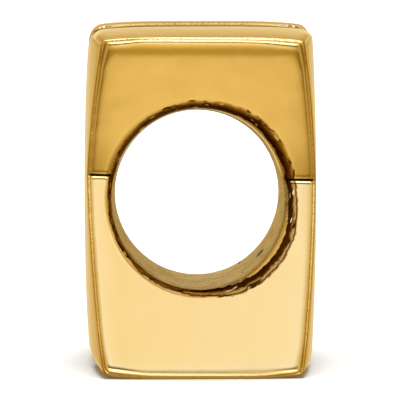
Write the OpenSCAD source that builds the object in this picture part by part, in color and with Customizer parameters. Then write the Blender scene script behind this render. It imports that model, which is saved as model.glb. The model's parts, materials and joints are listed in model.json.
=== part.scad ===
// Letter bead charm: one solid cast block letter, two broad arms that cross,
// drilled through the crossing so that it slides onto a bracelet.
// The bore runs along Y, the two domed letter faces look along X, and the bead
// stands on the flat ends of its lower arms at Z = 0.

/* [Letter] */
// Height of the letter, from its feet to its top
bead_h = 9.7; // [9.2:0.1:11]
// Width of the letter across the tips of its arms, along the bore
bead_w = 7.6; // [7:0.1:9]
// Thickness of the bead between the crowns of its two letter faces
bead_t = 6.6; // [6.4:0.1:7.6]
// Radius of the low crown of the top, seen from the side
crown_r = 45; // [30:5:100]

/* [Letter faces] */
// Radius of the dome of each letter face, seen from above
dome_r = 20; // [13:1:30]
// Radius of the slight bow of each letter face, seen along the bore
bow_r = 95; // [70:5:200]

/* [Rounded edges] */
// Radius of the long corners between the letter faces and the top
top_corner_r = 0.55; // [0.3:0.05:0.9]
// Radius of the long corners between the letter faces and the feet
foot_corner_r = 0.7; // [0.3:0.05:1]
// Radius of the nose at the tip of each upper arm
nose_r = 0.25; // [0.1:0.05:0.35]
// Radius of the toe at the tip of each lower arm
toe_r = 0.18; // [0.1:0.02:0.3]

/* [Waist] */
// Width left between the two waist creases, along the bore
waist_w = 3.5; // [3.2:0.1:4.5]
// Height of the waist creases above the axis of the bore
waist_rise = 0.55; // [0:0.05:0.9]
// Lean of the waist creases, turned about the direction of the bore
waist_lean = 1.5; // [0:0.5:3]

/* [Notches] */
// Width of the notch between two arms, at the top and between the feet
notch_w = 2.4; // [1.6:0.1:3]
// Metal left between the bottom of a notch and the bore
notch_wall = 0.75; // [0.6:0.05:0.9]

/* [Bore] */
// Diameter of the bore at its throat
bore_d = 4.75; // [4.35:0.05:5]
// Height of the axis of the bore above the middle of the letter
bore_rise = 0.05; // [0:0.05:0.15]
// Length of the straight throat in the middle of the bore
throat_l = 0.8; // [0.4:0.1:1.6]
// Half angle of the flare from the throat out to each mouth
flare_angle = 7; // [4:0.5:9]

/* [Hidden] */
// Sides of the circles, which stand for true arcs, and of the long arcs
$fn = 180;
long_arc_sides = 1800;
// How far a cutting shape runs past the metal it cuts
over = 1;
// Clearance between a rounded corner and the curve that trims it
clear = 0.005;
half_h = bead_h / 2;
half_w = bead_w / 2;
half_t = bead_t / 2;
bore_r = bore_d / 2;
bore_z = half_h + bore_rise;
waist_z = bore_z + waist_rise;
// Height of the middle of the nose, under the crown of the top
nose_z = bead_h - crown_r + sqrt(pow(crown_r, 2) - pow(half_w - nose_r, 2)) - nose_r;
// Slope of the flanks above and below the waist, in mm of Y for each mm of Z
upper_slope = (half_w - waist_w / 2) / (nose_z - waist_z);
lower_slope = (half_w - waist_w / 2) / (waist_z - toe_r);

// How far the bow draws a letter face in at a distance from its middle
function bow_sag(reach) = bow_r - sqrt(pow(bow_r, 2) - pow(reach, 2));

// Section of the bar that the letter is cut from, with its long rounded corners
module bar_section() {
    top_x = half_t - bow_sag(half_h - top_corner_r) - top_corner_r + clear;
    foot_x = half_t - bow_sag(half_h - foot_corner_r) - foot_corner_r + clear;
    top_z = bead_h - top_corner_r + clear;
    for (side = [-1, 1]) {
        translate([side * top_x, top_z]) circle(r = top_corner_r);
        translate([side * foot_x, foot_corner_r]) circle(r = foot_corner_r);
    }
    translate([-top_x, half_h]) square([2 * top_x, half_h + over]);
    translate([-foot_x, 0]) square([2 * foot_x, half_h]);
    translate([-half_t - over, foot_corner_r])
        square([bead_t + 2 * over, top_z - foot_corner_r]);
}

// The bar that the letter is cut from, along the bore
module long_bar() {
    rotate([90, 0, 0])
        linear_extrude(height = bead_w + 2 * over, center = true) bar_section();
}

// A barrel whose skin is one letter face, turned about an upright axis
module face_barrel() {
    translate([half_t - dome_r, 0, 0])
        rotate_extrude()
            intersection() {
                translate([dome_r - bow_r, half_h]) circle(r = bow_r, $fn = long_arc_sides);
                translate([0, -over]) square([dome_r + over, bead_h + 2 * over]);
            }
}

// Outline of the arms seen from the side: a crowned top, noses and toes
module arm_outline() {
    intersection() {
        translate([0, bead_h - crown_r]) circle(r = crown_r, $fn = long_arc_sides);
        union() {
            for (end = [-1, 1]) {
                translate([end * (half_w - nose_r), nose_z + clear]) circle(r = nose_r);
                translate([end * (half_w - toe_r), toe_r]) circle(r = toe_r);
            }
            translate([nose_r - half_w, half_h])
                square([bead_w - 2 * nose_r, half_h + over]);
            translate([toe_r - half_w, 0]) square([bead_w - 2 * toe_r, half_h]);
            translate([-half_w, toe_r]) square([bead_w, nose_z + clear - toe_r]);
        }
    }
}

// A body that runs right through the bead from one letter face to the other
module through_bead() {
    rotate([90, 0, 90])
        linear_extrude(height = bead_t + 2 * over, center = true) children();
}

// The uncut block: two domed letter faces, a crowned top and flat feet
module block() {
    intersection() {
        through_bead() arm_outline();
        long_bar();
        face_barrel();
        mirror([1, 0, 0]) face_barrel();
    }
}

// The wedge between the two arms of one end of the bore: its crease is the
// waist, and its two planes leave the flanks of the arms
module waist_cut() {
    top_z = bead_h + over - waist_z;
    foot_z = -over - waist_z;
    translate([0, 0, waist_z])
        rotate([0, waist_lean, 0])
            through_bead() polygon([
                [waist_w / 2, 0],
                [waist_w / 2 + upper_slope * top_z, top_z],
                [half_w + 2 * over, top_z],
                [half_w + 2 * over, foot_z],
                [waist_w / 2 - lower_slope * foot_z, foot_z]
            ]);
}

// The notch between two arms, its root at one height and its width at another
module notch_cut(root_z, end_z) {
    past_end = (end_z - root_z) * (1 + over / half_h);
    reach = notch_w / 2 * (1 + over / half_h);
    translate([0, 0, root_z])
        through_bead() polygon([[0, 0], [reach, past_end], [-reach, past_end]]);
}

// The bore: a straight throat in the middle that flares to a mouth at each end
module bore_cut() {
    flare_l = half_w - throat_l / 2;
    flare_r = bore_r + tan(flare_angle) * flare_l;
    translate([0, 0, bore_z]) {
        rotate([90, 0, 0]) cylinder(h = bead_w + 2 * over, r = bore_r, center = true);
        for (end = [0, 180])
            rotate([90, 0, end])
                translate([0, 0, throat_l / 2])
                    cylinder(h = flare_l, r1 = bore_r, r2 = flare_r);
    }
}

module letter_bead() {
    color([0.91, 0.72, 0.36])
        difference() {
            block();
            waist_cut();
            mirror([0, 1, 0]) waist_cut();
            notch_cut(bore_z + bore_r + notch_wall, bead_h);
            notch_cut(bore_z - bore_r - notch_wall, 0);
            bore_cut();
        }
}

letter_bead();
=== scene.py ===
# %% [markdown]
# # Letter bead charm
# A slide-on bead for a bracelet: one solid cast block letter, two arms that
# cross, with a bore through the crossing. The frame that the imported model
# gives holds its real size and place, and this script makes its looks: the
# softened, mirror-polished edges, the matte cast bore and its dark mouth.

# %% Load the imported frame
import json
import math

import bmesh
import bpy
from mathutils import Matrix, Vector


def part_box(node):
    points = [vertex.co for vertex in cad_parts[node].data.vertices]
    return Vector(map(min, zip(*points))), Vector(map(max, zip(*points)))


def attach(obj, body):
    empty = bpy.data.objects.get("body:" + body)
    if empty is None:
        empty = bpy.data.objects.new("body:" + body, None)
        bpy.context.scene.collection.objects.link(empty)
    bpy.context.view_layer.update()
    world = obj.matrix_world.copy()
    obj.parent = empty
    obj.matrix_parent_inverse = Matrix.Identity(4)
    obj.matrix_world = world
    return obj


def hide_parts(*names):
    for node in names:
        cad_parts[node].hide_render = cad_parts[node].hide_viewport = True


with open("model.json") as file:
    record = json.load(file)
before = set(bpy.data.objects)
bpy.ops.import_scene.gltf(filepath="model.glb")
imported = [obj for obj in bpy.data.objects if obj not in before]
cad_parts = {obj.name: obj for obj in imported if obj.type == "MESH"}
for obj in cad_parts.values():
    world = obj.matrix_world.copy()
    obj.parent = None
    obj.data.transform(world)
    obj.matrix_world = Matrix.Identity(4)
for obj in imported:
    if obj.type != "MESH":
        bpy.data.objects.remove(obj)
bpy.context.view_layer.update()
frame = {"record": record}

# %% [markdown]
# ## Sizes
# The bead is under a centimetre, and Blender's cutting tools are happier
# with numbers near one. So it is modelled with one unit for a millimetre and
# shrunk to metres as its very last step. The overall sizes and the bore come
# from the frame. The top is a low crown that the notch has cut through, so
# the full height of the crown is worked out first.

# %% Sizes in millimetres, from the frame
MM = 0.001
crown_r = 45
notch_half = 1.2

low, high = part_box("letter_bead")
bead_t, bead_w, bead_h = [(b - a) / MM for a, b in zip(low, high)]
crown_h = bead_h + notch_half ** 2 / (2 * crown_r)
bore_mount = next(m for m in frame["record"]["mounts"] if m["name"] == "bore")
bore_r = bore_mount["dims"]["r_mm"]
throat_l = bore_mount["dims"]["length_mm"]
bore_z = bore_mount["pos_m"][2] / MM
print(f"bead {bead_t:.2f} x {bead_w:.2f} x {bead_h:.2f}, bore radius {bore_r} at z {bore_z}")

# %% [markdown]
# ## Helpers for working in edit mode
# These stand for what a hand does with the mouse: pick parts of the mesh by
# where they lie or which way they face, run a tool, and leave edit mode.

# %% Helpers
def only(piece):
    """Selects one object and makes it the active one."""
    bpy.ops.object.select_all(action="DESELECT")
    piece.select_set(True)
    bpy.context.view_layer.objects.active = piece


def new_piece(name):
    """Names the primitive that was just added and puts its place in its mesh."""
    piece = bpy.context.object
    piece.name = name
    only(piece)
    bpy.ops.object.transform_apply(location=True, rotation=True, scale=True)
    return piece


def edit(piece):
    only(piece)
    bpy.ops.object.mode_set(mode="EDIT")


def done():
    bpy.ops.object.mode_set(mode="OBJECT")


def pick(kind, test):
    """Selects the vertices, edges or faces that pass a test, and counts them."""
    bpy.ops.mesh.select_all(action="DESELECT")
    bpy.ops.mesh.select_mode(type=kind)
    mesh = bpy.context.object.data
    bm = bmesh.from_edit_mesh(mesh)
    bm.normal_update()
    parts = {"VERT": bm.verts, "EDGE": bm.edges, "FACE": bm.faces}[kind]
    chosen = [part for part in parts if test(part)]
    for part in chosen:
        part.select_set(True)
    bm.select_flush_mode()
    bmesh.update_edit_mesh(mesh)
    return len(chosen)


def close(first, second):
    """True for two numbers in millimetres that stand for the same place."""
    return abs(first - second) < 1e-4


def slice_across(place, normal):
    """Cuts a line of edges round the whole mesh where a plane crosses it."""
    bpy.ops.mesh.select_all(action="SELECT")
    bpy.ops.mesh.bisect(plane_co=place, plane_no=normal, threshold=1e-6)


def add_modifier(piece, kind, **settings):
    """Adds a modifier with these settings and applies it."""
    only(piece)
    modifier = piece.modifiers.new(kind.title(), kind)
    for key, value in settings.items():
        setattr(modifier, key, value)
    bpy.ops.object.modifier_apply(modifier=modifier.name)


def turn(piece, rotation):
    """Turns a piece about the origin and puts the turn in its mesh."""
    only(piece)
    piece.rotation_euler = rotation.to_euler()
    bpy.ops.object.transform_apply(location=False, rotation=True, scale=False)


def carve(piece, tool, operation="DIFFERENCE"):
    """Cuts a piece with a tool, exactly, and throws the tool away."""
    add_modifier(piece, "BOOLEAN", operation=operation, solver="EXACT", object=tool)
    bpy.data.objects.remove(tool)


# %% [markdown]
# ## The block, with blunt tips
# The bead starts as a cube of its overall size. The tips of its arms are
# blunt and rounded, so the four edges that will be tips are bevelled first.

# %% The block
nose_r = 0.08
toe_r = 0.06
round_steps = 6
spare = 1

bpy.ops.mesh.primitive_cube_add(
    size=1, location=(0, 0, crown_h / 2), scale=(bead_t + spare, bead_w, crown_h))
bead = new_piece("letter_bead_polished")
edit(bead)
for z, radius in ((crown_h, nose_r), (0, toe_r)):
    pick("EDGE", lambda edge: all(close(v.co.z, z) for v in edge.verts)
         and not close(edge.verts[0].co.x, edge.verts[1].co.x))
    bpy.ops.mesh.bevel(offset=radius, segments=round_steps, affect="EDGES")
done()
print("block:", len(bead.data.polygons), "faces")

# %% [markdown]
# ## The crown of the top
# Seen from the side, the top is a low crown. The block is cut into slices
# across its width, and the height of each slice is scaled down a little,
# more towards the tips. The same tool draws the letter faces in below.

# %% The crown
slices = 26


def slice_up(piece, axis, places):
    """Cuts a piece into slices across one axis, at these places."""
    normal = [float(axis == k) for k in range(3)]
    edit(piece)
    for place in places:
        slice_across([place * part for part in normal], normal)
    done()


def scale_rows(piece, axis, scale_at):
    """Scales each row of vertices that lie at one place along an axis."""
    rows = sorted({round(v.co[axis], 4) for v in piece.data.vertices})
    edit(piece)
    for place in rows:
        pick("VERT", lambda v: abs(v.co[axis] - place) < 6e-5)
        scale, center = scale_at(place)
        bpy.ops.transform.resize(value=scale, center_override=center)
    done()
    return len(rows)


def crown_scale(y):
    return (1, 1, 1 - y ** 2 / (2 * crown_r * crown_h)), (0, y, 0)


slice_up(bead, 1, [bead_w * (k / slices - 0.5) for k in range(1, slices)])
rows = scale_rows(bead, 1, crown_scale)
print("crowned block:", len(bead.data.polygons), "faces in", rows, "rows")

# %% [markdown]
# ## The long rounded corners
# The letter is cut from a bar with rounded corners that run along the bore.
# The bar is a cube whose four long edges are bevelled, and its sides are bowed
# by a fraction of a millimetre. The corners on the left are rounder than those
# on the right, because they are polished by hand.

# %% The bar
bow_r = 95
bow_slices = 9
corner_steps = 12
bar_clear = 0.01
rim_clear = 0.002
corners = {(-1, 1): 0.5, (-1, 0): 0.7, (1, 1): 0.38, (1, 0): 0.52}


def bow_sag(z):
    """How far the bow has drawn a letter face in at a height."""
    return (z - crown_h / 2) ** 2 / (2 * bow_r)


def bow_scale(z):
    return (1 - bow_sag(z) / (bead_t / 2), 1, 1), (0, 0, z)


bar_t = bead_t + 2 * bar_clear
bar_low, bar_high = -rim_clear, crown_h + rim_clear
bpy.ops.mesh.primitive_cube_add(
    size=1, location=(0, 0, crown_h / 2), scale=(bar_t, bead_w + spare, bar_high - bar_low))
bar = new_piece("bar")
edit(bar)
for (side, upper), radius in corners.items():
    edge_x, edge_z = side * bar_t / 2, bar_high if upper else bar_low
    pick("EDGE", lambda edge: all(close(v.co.x, edge_x) and close(v.co.z, edge_z)
                                  for v in edge.verts))
    bpy.ops.mesh.bevel(offset=radius, segments=corner_steps, affect="EDGES")
done()
bow_places = [crown_h * k / bow_slices for k in range(1, bow_slices)]
slice_up(bar, 2, bow_places)
scale_rows(bar, 2, bow_scale)
carve(bead, bar, "INTERSECT")
print("block with long corners:", len(bead.data.polygons), "faces")

# %% [markdown]
# ## The domed letter faces
# Each letter face is part of a great barrel: curved round an upright axis,
# with the same bow as the bar. A cylinder with a few rings cut into it, each
# ring drawn in a little, is that barrel. What the block shares with both
# barrels keeps a dome on each side, and the dome trims the rounded corners,
# so that they are nearly square at the tips of the arms.

# %% The letter faces
dome_r = 20
barrel_sides = 480


def barrel(side):
    axis_x = side * (bead_t / 2 - dome_r)
    bpy.ops.mesh.primitive_cylinder_add(
        vertices=barrel_sides, radius=dome_r, depth=crown_h + spare,
        location=(axis_x, 0, crown_h / 2))
    piece = new_piece("barrel")
    slice_up(piece, 2, bow_places)
    scale_rows(piece, 2, lambda z: ([1 - bow_sag(z) / dome_r] * 2 + [1], (axis_x, 0, z)))
    return piece


for side in (-1, 1):
    carve(bead, barrel(side), "INTERSECT")
print("domed block:", len(bead.data.polygons), "faces")

# %% [markdown]
# ## The waist and the notches
# The letter is cut from the block by four wedges. Each wedge is a big cube
# trimmed twice, so that two planes are left that meet in its sharp edge. The
# two waist wedges lean a little, as the crease on the real bead does.

# %% The waist and the notches
waist_half = 1.75
waist_z = bore_z + 0.55
waist_lean = math.radians(1.5)
nose_z = crown_h - bead_w ** 2 / (8 * crown_r) - nose_r
notch_wall = 0.75
cube_size = 20
upper_slope = (bead_w / 2 - waist_half) / (nose_z - waist_z)
lower_slope = (bead_w / 2 - waist_half) / (waist_z - toe_r)


def wedge(root, rays, lean=0):
    """The wedge between two rays in the YZ plane that leave its root."""
    bpy.ops.mesh.primitive_cube_add(size=cube_size, location=(0, root[0], root[1]))
    piece = new_piece("wedge")
    leaning = Matrix.Rotation(lean, 3, "Y")
    middle = Vector((0, rays[0][0] + rays[1][0], rays[0][1] + rays[1][1]))
    edit(piece)
    for y, z in rays:
        normal = Vector((0, z, -y)).normalized()
        if normal.dot(middle) < 0:
            normal.negate()
        bpy.ops.mesh.select_all(action="SELECT")
        bpy.ops.mesh.bisect(plane_co=(0, *root), plane_no=leaning @ normal,
                            clear_inner=True, use_fill=True, threshold=1e-6)
    done()
    return piece


def unit_ray(root, tip):
    return Vector((tip[0] - root[0], tip[1] - root[1])).normalized()


for side in (-1, 1):
    root = (side * waist_half, waist_z)
    tips = ((side * bead_w / 2, nose_z), (side * bead_w / 2, toe_r))
    carve(bead, wedge(root, [unit_ray(root, tip) for tip in tips], waist_lean))
for up, z_end in ((1, crown_h), (-1, 0)):
    root = (0, bore_z + up * (bore_r + notch_wall))
    tips = ((notch_half, z_end), (-notch_half, z_end))
    carve(bead, wedge(root, [unit_ray(root, tip) for tip in tips]))
print("letter:", len(bead.data.polygons), "faces")

# %% [markdown]
# ## The bore
# The bore is a straight throat in the middle that widens gently towards both
# mouths. Its cutter starts as a cylinder for the throat; its two ends are
# extruded and widened. It is drilled by hand: in the photo it sits a hair low
# and to the left, is a little taller than wide, and rises slightly to the
# front.

# %% The bore
bore_sides = 256
hole_x = -0.09
hole_z = bore_z - 0.03
hole_tilt = math.radians(1.5)
hole_narrow = 0.985
flares = {-1: math.radians(3.6), 1: math.radians(5.5)}
flare_l = 3.5

bpy.ops.mesh.primitive_cylinder_add(
    vertices=bore_sides, radius=bore_r, depth=throat_l, rotation=(math.radians(90), 0, 0))
cutter = new_piece("bore_cutter")
edit(cutter)
for end, angle in flares.items():
    pick("FACE", lambda face: face.normal.y * end > 0.9)
    bpy.ops.mesh.extrude_region_move(
        TRANSFORM_OT_translate={"value": (0, end * flare_l, 0)})
    mouth = 1 + flare_l * math.tan(angle) / bore_r
    mouth_center = (0, end * (throat_l / 2 + flare_l), 0)
    bpy.ops.transform.resize(value=(mouth, 1, mouth), center_override=mouth_center)
bpy.ops.mesh.select_all(action="SELECT")
bpy.ops.transform.resize(value=(hole_narrow, 1, 1), center_override=(0, 0, 0))
done()
turn(cutter, Matrix.Rotation(-hole_tilt, 3, "X"))
cutter.location = (hole_x, 0, hole_z)
carve(bead, cutter)
print("drilled letter:", len(bead.data.polygons), "faces")

# %% [markdown]
# ## The worn lip of each mouth
# Where the bore meets the flanks, its edge is dressed and worn to a slope
# about a quarter of a millimetre wide. It is a bevel along the edge loop of
# each mouth. The bead was held a little askew when it was dressed, so the
# outer rim of the lip is then moved: the lip is wider on the right and above.

# %% The mouths
lip_w = 0.2
lip_steps = 3
lip_reach = 2.9
lip_aside = 0.07
lip_up = 0.05
wall_turn, mouth_turn, flank_turn = 0.3, 0.6, 0.8
flank_area = 2


def from_axis(place):
    """How far a place lies from the slanting axis of the bore."""
    return math.hypot((place.x - hole_x) / hole_narrow,
                      place.z - hole_z + place.y * math.tan(hole_tilt))


def is_flank(face):
    """True for a face of a flank, which a small strip of the lip is not."""
    return abs(face.normal.y) > flank_turn and face.calc_area() > flank_area


def above_crease(place):
    """How far a place lies above the leaning crease, less than 0 if below."""
    return place.z - waist_z + place.x * math.tan(waist_lean)


def on_mouth(edge):
    """True for an edge between a flank and the wall of the bore."""
    if max(from_axis(v.co) for v in edge.verts) > lip_reach:
        return False
    turns = sorted(abs(face.normal.y) for face in edge.link_faces)
    return len(turns) == 2 and turns[0] < wall_turn and turns[1] > mouth_turn


edit(bead)
mouth_edges = pick("EDGE", on_mouth)
bpy.ops.mesh.bevel(offset=lip_w, segments=lip_steps, affect="EDGES")
for end in (-1, 1):
    for half, slope in ((1, upper_slope), (-1, -lower_slope)):
        rim = pick("VERT", lambda v: v.co.y * end > 0 and above_crease(v.co) * half > 1e-3
                   and from_axis(v.co) < lip_reach and any(map(is_flank, v.link_faces)))
        aside = Vector((lip_aside, 0, -lip_aside * math.tan(waist_lean)))
        rise = Vector((0, end * slope * lip_up, lip_up))
        bpy.ops.transform.translate(value=aside + rise)
done()
print("mouth edges bevelled:", mouth_edges, "rim vertices moved in the last quarter:", rim)

# %% [markdown]
# ## Casting and polishing
# The sharp letter is now a body of many flat strips. Remesh casts it anew as
# one even skin, and smoothing then wears it down as a polishing wheel does:
# flat faces stay flat, and edges turn round. Remesh works on an upright grid
# that would leave stairs along nearly upright edges, so the bead is turned
# to a slanting pose for it, and turned back afterwards.

# %% Cast and polish
grain = 0.038
polish_passes = 55
slanting = (Matrix.Rotation(0.6, 3, "X") @ Matrix.Rotation(0.5, 3, "Y")
            @ Matrix.Rotation(0.4, 3, "Z"))

turn(bead, slanting)
add_modifier(bead, "REMESH", mode="VOXEL", voxel_size=grain, use_smooth_shade=True)
add_modifier(bead, "SMOOTH", factor=0.5, iterations=polish_passes)
turn(bead, slanting.transposed())
print("cast skin:", len(bead.data.polygons), "faces")

# %% [markdown]
# ## Arms worn round towards their tips
# The sides of the arms catch the polishing wheel more and more towards their
# tips, and the corners of the tips catch it most. A vertex group is painted
# there, nothing at the waist and full at the corners, and a stronger smoothing
# follows it. The same helper then bows the top and the feet in at their sides.

# %% The worn arms
wear_passes = 140
wear_reach = (0.65, 0.25)
wear_along = (1.7, 3.5)
side_wear = 0.35
corner_reach = (1.3, 0.2)
tip_h = crown_h - bead_w ** 2 / (8 * crown_r)
side_bow = 0.0013
most_bow = 0.2


def smooth_step(value, start, end):
    part = min(max((value - start) / (end - start), 0), 1)
    return part * part * (3 - 2 * part)


def paint(piece, name, weight_at):
    """Paints a vertex group, given the weight from 0 to 1 of each vertex."""
    group = piece.vertex_groups.new(name=name)
    for v in piece.data.vertices:
        weight = weight_at(v)
        if weight > 0:
            group.add([v.index], weight, "REPLACE")


def wipe(piece):
    only(piece)
    bpy.ops.object.vertex_group_remove(all=True)


def from_side(place):
    """How far a place lies inside the nearest letter face."""
    side_x = bead_t / 2 - place.y ** 2 / (2 * dome_r) - bow_sag(place.z)
    return max(side_x - abs(place.x), 0)


def wear(v):
    """The wear at a vertex: some along the sides of the arms, most at the corners."""
    to_end = max(min(v.co.z, tip_h - v.co.z), 0)
    side = smooth_step(from_side(v.co), *wear_reach) * side_wear
    corner = smooth_step(math.hypot(from_side(v.co), to_end), *corner_reach)
    return max(side, corner) * smooth_step(abs(v.co.y), *wear_along)


def bow(v, end):
    """How far the top (end 1) or a foot (end -1) is bowed in at a vertex."""
    height = (v.co.z * 2 / crown_h - 1) * end
    return side_bow * v.co.x ** 4 * max(height, 0) / most_bow


paint(bead, "worn", wear)
add_modifier(bead, "SMOOTH", factor=0.5, iterations=wear_passes, vertex_group="worn")
for end, name in ((1, "top"), (-1, "feet")):
    paint(bead, name, lambda v: bow(v, end))
    add_modifier(bead, "DISPLACE", direction="Z", strength=-end * most_bow, mid_level=0,
                 vertex_group=name)
wipe(bead)
print("arms worn round, top and feet bowed by", round(side_bow * (bead_t / 2) ** 4, 3), "mm")

# %% [markdown]
# ## Flanks that fall away to their edges
# A polishing wheel takes more off a flank near its edges, so each flank is
# very slightly crowned, and its mirror image dims towards the sides. Every
# point of a flank gets a weight that grows towards the edges, as if painted
# by hand, and the Displace modifier sinks the points by that weight.

# %% The crowned flanks
side_fall, side_fall_w = 0.055, 0.6
nose_fall, nose_fall_w = 0.055, 0.68
toe_fall, toe_fall_w = 0.018, 0.6
most_fall = side_fall + nose_fall
onto_flank = (0.3, 0.8)


def fall(v):
    """How far a flank has fallen away at a vertex, as a part of the most."""
    to_nose = min(max(nose_z - v.co.z, 0) / nose_fall_w, 1)
    to_toe = min(max(v.co.z - toe_r, 0) / toe_fall_w, 1)
    sunk = (side_fall * math.exp(-from_side(v.co) / side_fall_w)
            + nose_fall * (1 - to_nose) ** 3 + toe_fall * (1 - to_toe) ** 3)
    return smooth_step(abs(v.normal.y), *onto_flank) * sunk / most_fall


paint(bead, "towards_the_edges", fall)
add_modifier(bead, "DISPLACE", strength=-most_fall, mid_level=0, vertex_group="towards_the_edges")
wipe(bead)
print("flanks sunk by at most", most_fall, "mm")

# %% [markdown]
# ## A lighter mesh
# The fine skin gives smooth mirror images in the rounded edges, but on flat
# metal it is finer than needed. Edges that turn by more than a few degrees
# are kept in a group, and Decimate thins out the rest.

# %% A lighter mesh
rounded = math.radians(4)
kept_triangles = 197000
keep_edges = 100

bead.vertex_groups.new(name="rounded_edges")
edit(bead)
bpy.ops.mesh.select_all(action="DESELECT")
bpy.ops.mesh.select_mode(type="EDGE")
bpy.ops.mesh.edges_select_sharp(sharpness=rounded)
bpy.ops.object.vertex_group_assign()
done()
add_modifier(bead, "DECIMATE", ratio=kept_triangles / (2 * len(bead.data.polygons)),
             vertex_group="rounded_edges", invert_vertex_group=True, vertex_group_factor=keep_edges)
wipe(bead)
bpy.ops.object.shade_smooth()
print("polished bead:", len(bead.data.polygons), "faces")

# %% [markdown]
# ## To metres
# The finished bead is shrunk to its real size, its object left at the
# origin, and it takes the place of the plain model's solid.

# %% To metres
edit(bead)
bpy.ops.mesh.select_all(action="SELECT")
bpy.ops.transform.resize(value=(MM, MM, MM), center_override=(0, 0, 0))
done()
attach(bead, "root")
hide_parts("letter_bead")

# %% [markdown]
# ## Sums in a shader
# A shader works out numbers with nodes. Wired one by one, the nodes for even a
# short sum fill a page. These helpers let a sum be written as a sum, and each
# still becomes the same nodes that a hand would place and link.

# %% Shader sums
def plug(tree, item, into):
    """Feeds an input with a value, a socket, a colour or a plain number."""
    if isinstance(item, Value):
        item = item.socket
    if isinstance(item, bpy.types.NodeSocket):
        tree.links.new(item, into)
    else:
        into.default_value = (*item, 1) if isinstance(item, tuple) else item


class Value:
    """A number in a shader, so that node maths can be written as plain sums."""

    def __init__(self, tree, socket):
        self.tree, self.socket = tree, socket

    def math(self, operation, *others):
        node = self.tree.nodes.new("ShaderNodeMath")
        node.operation = operation
        for place, item in enumerate((self, *others)):
            plug(self.tree, item, node.inputs[place])
        return Value(self.tree, node.outputs[0])

    def __add__(self, other):
        return self.math("ADD", other)

    def __sub__(self, other):
        return self.math("SUBTRACT", other)

    def __mul__(self, other):
        return self.math("MULTIPLY", other)

    def abs(self):
        return self.math("ABSOLUTE")

    def step(self, start, end):
        """Rises smoothly from 0 at start to 1 at end."""
        node = self.tree.nodes.new("ShaderNodeMapRange")
        node.interpolation_type = "SMOOTHSTEP"
        node.inputs["From Min"].default_value = min(start, end)
        node.inputs["From Max"].default_value = max(start, end)
        node.inputs["To Min"].default_value = 0 if start < end else 1
        node.inputs["To Max"].default_value = 1 if start < end else 0
        self.tree.links.new(self.socket, node.inputs["Value"])
        return Value(self.tree, node.outputs["Result"])


def split(tree, vector):
    """The three numbers of a vector socket."""
    node = tree.nodes.new("ShaderNodeSeparateXYZ")
    tree.links.new(vector, node.inputs[0])
    return [Value(tree, node.outputs[axis]) for axis in "XYZ"]


def ramp(value, stops):
    """A colour ramp over a value from 0 to 1, given its places and colours."""
    node = value.tree.nodes.new("ShaderNodeValToRGB")
    elements = node.color_ramp.elements
    for k, (place, color) in enumerate(stops):
        element = elements[k] if k < 2 else elements.new(place)
        element.position = place
        element.color = (*color, 1)
    plug(value.tree, value, node.inputs["Fac"])
    return node.outputs["Color"]


def blend(tree, amount, first, second, mode="MIX"):
    """Mixes two colours, each a socket or three numbers."""
    node = tree.nodes.new("ShaderNodeMix")
    node.data_type, node.blend_type = "RGBA", mode
    for place, item in ((0, amount), (6, first), (7, second)):
        plug(tree, item, node.inputs[place])
    return node.outputs[2]


def noise(tree, vector, scale, detail=2.0):
    """Soft random blotches, from 0 to 1, with this many of them to a unit."""
    node = tree.nodes.new("ShaderNodeTexNoise")
    node.inputs["Scale"].default_value = scale
    node.inputs["Detail"].default_value = detail
    tree.links.new(vector, node.inputs["Vector"])
    return Value(tree, node.outputs["Fac"])


# %% [markdown]
# ## Where on the bead a point lies
# The finish changes with the place on the bead: mirror gold outside, a dark
# lip, a matte wall. So the shader first works out, in millimetres, how far a
# point is from the wall of the bore, from the flank and from the crease. These
# come from the object's own coordinates, so that the finish stays on the metal
# from every side.

# %% Places on the bead
gold = bpy.data.materials.new("polished_gold")
gold.use_nodes = True
tree = gold.node_tree
shader = tree.nodes["Principled BSDF"]
coords = tree.nodes.new("ShaderNodeTexCoord")
in_mm = tree.nodes.new("ShaderNodeVectorMath")
in_mm.operation = "SCALE"
in_mm.inputs["Scale"].default_value = 1 / MM
tree.links.new(coords.outputs["Object"], in_mm.inputs[0])
place = in_mm.outputs[0]
x, y, z = split(tree, place)
away = y.abs()
off_x = (x - hole_x) * (1 / hole_narrow)
off_z = z - hole_z + y * math.tan(hole_tilt)
radius = (off_x * off_x + off_z * off_z).math("SQRT")
near_flare = (y * -1 - throat_l / 2).math("MAXIMUM", 0.0) * math.tan(flares[-1])
far_flare = (y - throat_l / 2).math("MAXIMUM", 0.0) * math.tan(flares[1])
wall_r = near_flare + far_flare + bore_r
beyond_wall = radius - wall_r
rise = z - waist_z + x * math.tan(waist_lean)
flank_y = (rise * upper_slope).math("MAXIMUM", rise * -lower_slope) + waist_half
depth = flank_y - away

# %% [markdown]
# ## The dark lip of the mouth
# The worn slope round each mouth is painted dark. Across its width the photo
# shows a black line, a golden-brown middle and a thin dark line at the flank,
# all with ragged edges, black blotches and bright specks. Above the crease it
# fades out evenly instead. Each is a colour ramp over the distance from the
# wall, which noise shifts in and out.

# %% The dark lip
lip_paint_w = 0.21
paint_stops = (3.3, 3.1)
gold_color = (0.96, 0.70, 0.30)
black_color = (0.05, 0.015, 0.001)
rim_color = (0.16, 0.06, 0.006)
speck_color = (0.90, 0.70, 0.36)

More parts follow.
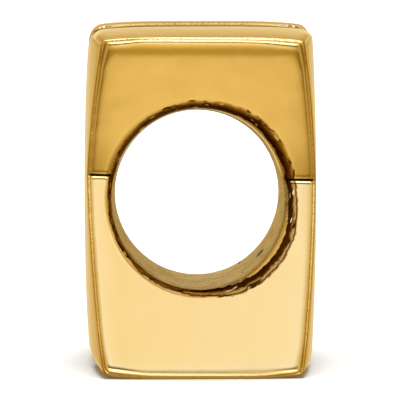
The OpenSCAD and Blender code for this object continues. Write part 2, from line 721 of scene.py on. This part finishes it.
around = off_x.math("ARCTAN2", off_z * -1) * bore_r
along_lip = tree.nodes.new("ShaderNodeCombineXYZ")
plug(tree, around * 0.3, along_lip.inputs[0])
plug(tree, radius, along_lip.inputs[1])
plug(tree, away * 0.5, along_lip.inputs[2])
ragged = (noise(tree, place, 2.2, 3) - 0.5) * 0.14
crumbs = (noise(tree, place, 6, 2) - 0.5) * 0.07
bulge = off_x.math("MAXIMUM", 0.0) * (off_z * -1).math("MAXIMUM", 0.0) * 0.035
uneven = off_x * 0.042 + off_x.abs() * 0.016 + off_z * 0.012 + bulge
across_lip = (beyond_wall - ragged - crumbs - uneven) * (1 / lip_paint_w)
near_bore = radius.step(*paint_stops)
lower_lip = ramp(across_lip, (
    (0.0, black_color),
    (0.22, black_color),
    (0.38, (0.34, 0.16, 0.03)),
    (0.60, (0.60, 0.36, 0.10)),
    (0.72, rim_color),
    (0.84, rim_color),
    (1.0, gold_color),
))
upper_lip = ramp(across_lip, (
    (0.0, (0.06, 0.02, 0.002)),
    (0.30, (0.16, 0.065, 0.008)),
    (0.60, (0.32, 0.15, 0.025)),
    (0.85, (0.62, 0.38, 0.11)),
    (1.0, gold_color),
))
lip_color = blend(tree, rise.step(-0.1, 0.1), lower_lip, upper_lip)
black_blotches = noise(tree, along_lip.outputs[0], 9, 3).step(0.46, 0.36)
lip_color = blend(tree, black_blotches, lip_color, black_color)
specks = noise(tree, along_lip.outputs[0], 10, 1).step(0.66, 0.72)
lip_color = blend(tree, specks, lip_color, speck_color)
in_lip = across_lip.step(1.02, 0.98) * across_lip.step(-0.38, -0.28) * near_bore

# %% [markdown]
# ## The matte wall of the bore
# The wall is left as it was cast: a pale, grainy skin with faint rings from
# the reamer, a few pits and one gouge. It reaches up to the dark lip, except at
# the top, where the dark lip colour goes on deeper into the bore as painted
# shade on its ceiling. It is painted palest at the lower right, where the lip is
# wide, as painted light. The rings are noise that is stretched along the round
# of the bore, and each pit is a small oval on the wall, given by its angle from
# the bottom and its place along the bore, and painted near-black as the shade
# inside it.

# %% The matte wall
shadow_grain, pale_grain = (0.66, 0.51, 0.26), (1.0, 0.92, 0.66)
# Painted light for the paler lower right of the wall.
painted_lit_wall = (1.0, 0.90, 0.64)
ring_color = (0.40, 0.26, 0.09)
gouge_color = (0.20, 0.11, 0.03)
# Painted shade inside the pits.
pit_shade_color = (0.03, 0.01, 0.002)
gouge_curve, gouge_start = 0.49, 1.35

unrolled = tree.nodes.new("ShaderNodeCombineXYZ")
plug(tree, around * 0.35, unrolled.inputs[0])
plug(tree, y, unrolled.inputs[1])
# Painted shade: at the top of the bore the wall paint starts deeper in, so the dark lip colour
# covers its ceiling.
painted_ceiling_shade = rise.step(-0.1, 0.5) * 0.5
up_to_lip = beyond_wall.step(0.035, 0.02).math("MAXIMUM", across_lip.step(-0.15, -0.3))
on_wall = up_to_lip * (depth - painted_ceiling_shade).step(0.05, 0.12)
wall_grain = noise(tree, place, 26, 3)
rings = noise(tree, unrolled.outputs[0], 5, 4)
wall_color = blend(tree, wall_grain.step(0.36, 0.64), shadow_grain, pale_grain)
# Painted light: the lower right of the wall is painted paler.
wall_color = blend(tree, bulge * 5, wall_color, painted_lit_wall)
wall_color = blend(tree, rings.step(0.47, 0.36) * 0.6, wall_color, ring_color)
gouge = y - off_x * off_x * gouge_curve + gouge_start
scored = gouge.abs().step(0.035, 0.01) * rings.step(0.35, 0.5)
wall_color = blend(tree, scored * 0.7, wall_color, gouge_color)


def pit(angle, at_y, along, across):
    """An oval mark on the wall: its angle and place, and its two half sizes."""
    da = (around - math.radians(angle) * bore_r) * (1 / along)
    dy = (y - at_y) * (1 / across)
    return (da * da + dy * dy).step(1.2, 0.5)


# Each pit is painted near-black, as the shade inside it.
for angle, at_y, along, across in (
        (31.4, 0.0, 0.05, 0.25), (30.5, -2.0, 0.03, 0.12), (47.5, -1.3, 0.16, 0.22),
        (100, -0.2, 0.03, 0.2), (94, -0.2, 0.03, 0.15), (84, -0.3, 0.03, 0.15)):
    wall_color = blend(tree, pit(angle, at_y, along, across), wall_color, pit_shade_color)

# %% [markdown]
# ## Painted shade at the crease and in the notch
# Near the crease the upper flank is painted darker and yellower: a painted
# reflection of the bead's own shadow on the floor, which the flank mirrors
# there. The bottom of the crease is painted with a fine black line of shade.
# The notch between the two upper arms is painted brown with shade from just
# below its edge, which follows the bow of the top and its rounded corners.

# %% Painted shade at the crease and in the notch
dark_from, dark_fade = 9.558, 0.025
corner_x, corner_drop = 2.8, 1.15
notch_fade = 0.05
clear_of_bore = (bore_r + 0.3, bore_r + 0.4)
clear_of_faces = (3.08, 2.96)

on_flank = depth.step(0.14, 0.03)
# Painted reflection of the bead's shadow on the floor: the upper flank near the crease is darkened.
crease_shade = rise.step(1.3, 0.1) * rise.step(-0.03, 0.03) * on_flank * 0.7
from_waist = away - waist_half
# Painted shade: a fine black line along the bottom of the crease.
crease_line_shade = (from_waist * from_waist + rise * rise).math("SQRT").step(0.055, 0.03)
past_corner = (x.abs() - corner_x).math("MAXIMUM", 0.0)
level_z = z + x * x * x * x * side_bow + past_corner * past_corner * corner_drop
# Painted shade inside the notch between the upper arms, below its edge.
in_notch = level_z.step(dark_from + dark_fade, dark_from)
in_notch = in_notch * away.step(notch_half + notch_fade, notch_half - notch_fade)
in_notch = in_notch * radius.step(*clear_of_bore) * x.abs().step(*clear_of_faces)

# %% [markdown]
# ## Gold
# Gold plate is one metal shader whose colour is that of the place. The outside
# is close to a mirror, with faint smudges, soft waves from the wheel and very
# fine scratches. The wall is rough, and so, a little, are the notch, which is
# also painted with shade, and the feet, whose colour is darker towards the
# bottom. The waves and scratches are a height in millimetres, and Bump turns it
# into a tilt of the surface.

# %% Gold
# The first, third and fourth colours are painted shade: near the crease, at its bottom and in the
# notch.
crease_shade_color = (0.66, 0.44, 0.13)
bottom_dark_color = (0.50, 0.32, 0.11)
crease_line_shade_color = (0.02, 0.008, 0.002)
notch_shade_color = (0.16, 0.08, 0.02)
bottom_band = (0.32, 0.14)

smudges = noise(tree, place, 0.7, 3)
waves = noise(tree, place, 1.1, 1) * 0.006
scratches = noise(tree, place, 18, 2) * 0.00008
pores = wall_grain * on_wall * 0.012
# The feet are rougher, and their colour darker, towards the bottom.
worn = z.step(*bottom_band)
# Painted reflection of the shadowed floor on the upper flank near the crease.
color = blend(tree, crease_shade, gold_color, crease_shade_color)
# The colour is darker towards the bottom of the feet.
color = blend(tree, worn * 0.5, color, bottom_dark_color)
color = blend(tree, in_lip, color, lip_color)
color = blend(tree, on_wall, color, wall_color)
# Painted shade along the bottom of the crease.
color = blend(tree, crease_line_shade * on_flank, color, crease_line_shade_color)
# Painted shade inside the notch.
color = blend(tree, in_notch * 0.85, color, notch_shade_color)
tree.links.new(color, shader.inputs["Base Color"])
bump = tree.nodes.new("ShaderNodeBump")
bump.inputs["Strength"].default_value = 1
bump.inputs["Distance"].default_value = MM
plug(tree, waves + scratches + pores, bump.inputs["Height"])
tree.links.new(bump.outputs[0], shader.inputs["Normal"])
polish = smudges.step(0.4, 0.8) * 0.08 + 0.05
plug(tree, on_wall * 0.4 + worn * 0.25 + in_notch * 0.3 + polish, shader.inputs["Roughness"])
shader.inputs["Metallic"].default_value = 1
bead.data.materials.clear()
bead.data.materials.append(gold)
print("gold:", len(tree.nodes), "nodes")

# %% [markdown]
# ## The floor
# A plain sheet of pale paper, a little cool so that its shadows stay grey
# under warm light. The mirror gold doesn't see it: the studio's own light
# takes its place in the reflections.

# %% The floor
paper_color = (0.83, 0.88, 0.98, 1)

bpy.ops.mesh.primitive_plane_add(size=4, location=(0, 0, 0))
floor = bpy.context.object
floor.name = "floor"
paper = bpy.data.materials.new("pale_floor")
paper.use_nodes = True
paper_shader = paper.node_tree.nodes["Principled BSDF"]
paper_shader.inputs["Base Color"].default_value = paper_color
paper_shader.inputs["Roughness"].default_value = 1
paper_shader.inputs["Specular IOR Level"].default_value = 0
floor.data.materials.append(paper)
floor.visible_glossy = False

# %% [markdown]
# ## The studio tent
# Mirror gold shows nothing but what stands round it, so jewellery is shot in a
# tent of white cloth with dark and warm cards. Here the tent is the world:
# colour ramps over the direction that light comes from. In front, each stop
# is a height in degrees. The upper flanks look down into the ramp at about
# -61, the lower flanks up at about 37, and the rounded noses and toes sweep
# through the bright and dark bars between, which draws their thin lines.

# %% The tent, by height
peak = 3.0
front_light = (
    (-90, (0.62, 0.50, 0.28)),
    (-66, (0.86, 0.71, 0.38)),
    (-59, (0.90, 0.75, 0.40)),
    (-57, (0.82, 0.67, 0.32)),
    (-54, (0.50, 0.37, 0.10)),
    (-50, (0.50, 0.37, 0.10)),
    (-45, (0.80, 0.62, 0.24)),
    (-38, (1.05, 1.00, 0.80)),
    (-31, (1.10, 1.05, 0.90)),
    (-27, (0.35, 0.28, 0.14)),
    (-17, (0.35, 0.28, 0.14)),
    (-13, (3.0, 3.0, 3.0)),
    (12, (3.0, 3.0, 3.0)),
    (17, (0.25, 0.18, 0.10)),
    (23, (0.25, 0.18, 0.10)),
    (28, (1.0, 1.1, 1.4)),
    (34, (1.02, 1.03, 1.1)),
    (41, (1.05, 1.0, 0.98)),
    (46, (0.60, 0.46, 0.24)),
    (51, (0.60, 0.46, 0.24)),
    (57, (0.76, 0.71, 0.66)),
    (70, (0.76, 0.71, 0.66)),
    (78, (0.50, 0.37, 0.17)),
    (90, (0.50, 0.37, 0.17)),
)
back_light = (
    (-90, (0.50, 0.38, 0.15)),
    (-40, (0.35, 0.25, 0.07)),
    (-27, (0.35, 0.25, 0.07)),
    (-19, (0.84, 0.66, 0.34)),
    (-2, (0.84, 0.66, 0.34)),
    (0.5, (0.66, 0.52, 0.25)),
    (3.2, (1.08, 0.92, 0.54)),
    (8, (0.85, 0.67, 0.33)),
    (12, (0.69, 0.51, 0.23)),
    (17, (0.62, 0.43, 0.16)),
    (28, (0.78, 0.64, 0.40)),
    (50, (0.74, 0.60, 0.36)),
    (66, (0.60, 0.45, 0.22)),
    (90, (0.60, 0.45, 0.22)),
)


def lights(stops, place_of=lambda place: place):
    """Stops of a light ramp, as a colour ramp takes them: none above one."""
    return [(place_of(place), tuple(c / peak for c in light)) for place, light in stops]


def by_height(up, stops):
    return ramp(up * 0.5 + 0.5, lights(stops, lambda deg: (math.sin(math.radians(deg)) + 1) / 2))


# %% [markdown]
# ## The tent, from the middle to the sides
# Straight behind the camera the tent is brightest, and it darkens to the
# sides, where brown cards hang. The flanks fall away to their edges, so they
# show this as a soft shading, and the rounded edges squeeze the cards into
# narrow dark lines. The cards are darker low down than high up. Here each
# stop is a share of the way from the middle to the side.

# %% The tent, to the sides
low_fade = (
    (0.0, (1.0, 1.0, 1.0)),
    (0.03, (0.95, 0.94, 0.92)),
    (0.06, (0.87, 0.85, 0.80)),
    (0.13, (0.69, 0.65, 0.52)),
    (0.22, (0.52, 0.46, 0.32)),
)
high_fade = (
    (0.0, (0.97, 0.94, 0.80)),
    (0.05, (1.0, 1.0, 1.0)),
    (0.14, (1.0, 1.04, 1.15)),
    (0.24, (0.80, 0.76, 0.62)),
)
back_fade = (
    (0.0, (1.0, 1.0, 1.0)),
    (0.12, (1.0, 1.0, 1.0)),
    (0.26, (0.84, 0.80, 0.68)),
    (0.40, (0.72, 0.65, 0.46)),
    (1.0, (0.84, 0.76, 0.56)),
)
low_cards = (
    (0.25, (0.58, 0.45, 0.18)),
    (0.56, (0.50, 0.38, 0.14)),
    (0.70, (0.26, 0.17, 0.04)),
    (1.0, (0.26, 0.17, 0.04)),
)
high_cards = (
    (0.26, (0.76, 0.64, 0.34)),
    (0.50, (0.70, 0.56, 0.28)),
    (0.72, (0.50, 0.38, 0.15)),
    (0.84, (0.30, 0.20, 0.05)),
    (1.0, (0.30, 0.20, 0.05)),
)

world = bpy.data.worlds.new("studio")
bpy.context.scene.world = world
world.use_nodes = True
tree = world.node_tree
way = tree.nodes.new("ShaderNodeTexCoord")
across, along, up = split(tree, way.outputs["Generated"])
aside = across.abs()
high_up = up.step(-0.2, 0.1)
fade = blend(tree, high_up, ramp(aside, low_fade), ramp(aside, high_fade))
cards = blend(tree, high_up, ramp(aside, lights(low_cards)), ramp(aside, lights(high_cards)))
front = blend(tree, 1.0, by_height(up, front_light), fade, "MULTIPLY")
front = blend(tree, aside.step(0.26, 0.42), front, cards)
behind = blend(tree, 1.0, by_height(up, back_light), ramp(aside, back_fade), "MULTIPLY")
tent = blend(tree, along.step(-0.15, 0.15), front, behind)
background = tree.nodes["Background"]
tree.links.new(tent, background.inputs["Color"])
background.inputs["Strength"].default_value = peak
print("tent:", len(tree.nodes), "nodes")

# %% [markdown]
# ## The top light
# A wide soft lamp straight above lights the floor to white and leaves a small
# grey shadow under the rounded corners. It is kept out of the reflections.

# %% The top light
bpy.ops.object.light_add(type="SUN", location=(0, 0, 0.1))
sun = bpy.context.object
sun.name = "soft_top_light"
sun.data.energy = 3.6
sun.data.angle = math.radians(40)
sun.visible_glossy = False

# %% [markdown]
# ## The camera
# The photo looks along the bore, from a little above and a hair to the left.
# The lens is worked out so that a millimetre at the bead's middle is as many
# pixels wide as in the photo.

# %% The camera
IMAGE_W = 400
SENSOR = 36
cam_distance = 0.125
cam_azimuth = math.radians(-1.4)
cam_elevation = math.radians(5.5)
px_per_mm = 35.04
aim_z = 4.648
aim = Vector((0, 0, aim_z * MM))
back = Vector((math.sin(cam_azimuth) * math.cos(cam_elevation),
               -math.cos(cam_azimuth) * math.cos(cam_elevation),
               math.sin(cam_elevation)))
camera_data = bpy.data.cameras.new("camera")
camera_data.sensor_width = SENSOR
camera_data.lens = SENSOR * cam_distance / MM * px_per_mm / IMAGE_W
camera_data.clip_start = 0.001
camera = bpy.data.objects.new("camera", camera_data)
bpy.context.collection.objects.link(camera)
camera.location = aim + cam_distance * back
camera.rotation_euler = back.to_track_quat("Z", "Y").to_euler()
bpy.context.scene.camera = camera
bpy.context.scene.view_settings.view_transform = "Standard"
